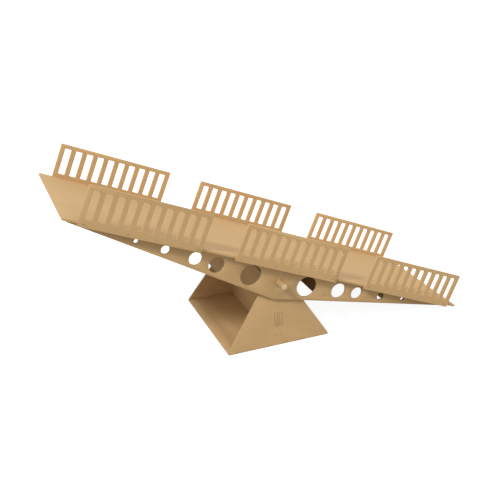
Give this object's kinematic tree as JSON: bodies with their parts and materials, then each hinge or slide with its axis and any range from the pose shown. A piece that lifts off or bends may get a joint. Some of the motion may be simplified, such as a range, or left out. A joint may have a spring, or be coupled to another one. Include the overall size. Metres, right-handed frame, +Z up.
{
  "type": "seesaw",
  "caption": "Platform seesaw cut from flat sheet: a long deck with slotted railings on pierced V-shaped girders, rocking on an axle through a low stand with leaning sides.",
  "frame": {"origin": "on the ground, at the middle of the base plate, straight below the axle", "axes": "+X towards the end of the deck that rests on the ground, Y across the deck along the axle, +Z up"},
  "size_m": [2.2332, 0.774, 1.0479],
  "materials": {
    "deck_sheet": "fine-grained sheet with a matt clear finish",
    "rail_sheet": "fine-grained sheet with a matt clear finish",
    "girder_sheet": "fine-grained sheet with a matt clear finish",
    "rib_sheet": "fine-grained sheet with a matt clear finish",
    "base_sheet": "fine-grained sheet with a matt clear finish",
    "side_sheet": "fine-grained sheet with a matt clear finish",
    "web_sheet": "fine-grained sheet with a matt clear finish",
    "axle_wood": "turned wooden rod, matt",
    "pin_steel": "plain drawn steel",
    "screw_steel": "dulled zinc-plated steel",
    "tube_wood": "bored wooden tube, matt",
    "bush_nylon": "natural nylon, matt"
  },
  "bodies": {
    "stand": {"base_plate": "base_sheet", "side_front": "side_sheet", "side_back": "side_sheet", "web_left": "web_sheet", "web_right": "web_sheet", "pivot_tube": "tube_wood", "bush_front": "bush_nylon", "bush_back": "bush_nylon", "base_screws": "screw_steel", "web_screws": "screw_steel"},
    "beam": {"deck": "deck_sheet", "girder_front": "girder_sheet", "girder_back": "girder_sheet", "rib_left": "rib_sheet", "rib_right": "rib_sheet", "rib_outer_left": "rib_sheet", "rib_outer_right": "rib_sheet", "rail_front_left": "rail_sheet", "rail_front_middle": "rail_sheet", "rail_front_right": "rail_sheet", "rail_back_left": "rail_sheet", "rail_back_middle": "rail_sheet", "rail_back_right": "rail_sheet", "axle": "axle_wood", "axle_pins": "pin_steel", "deck_screws": "screw_steel", "rail_screws": "screw_steel", "rib_screws": "screw_steel"}
  },
  "joints": [
    {"name": "rock", "type": "hinge", "parent": "stand", "child": "beam", "pos_m": [0, 0, 0.37], "axis": [0, -1, 0], "range_deg": [0, 43.83]}
  ]
}
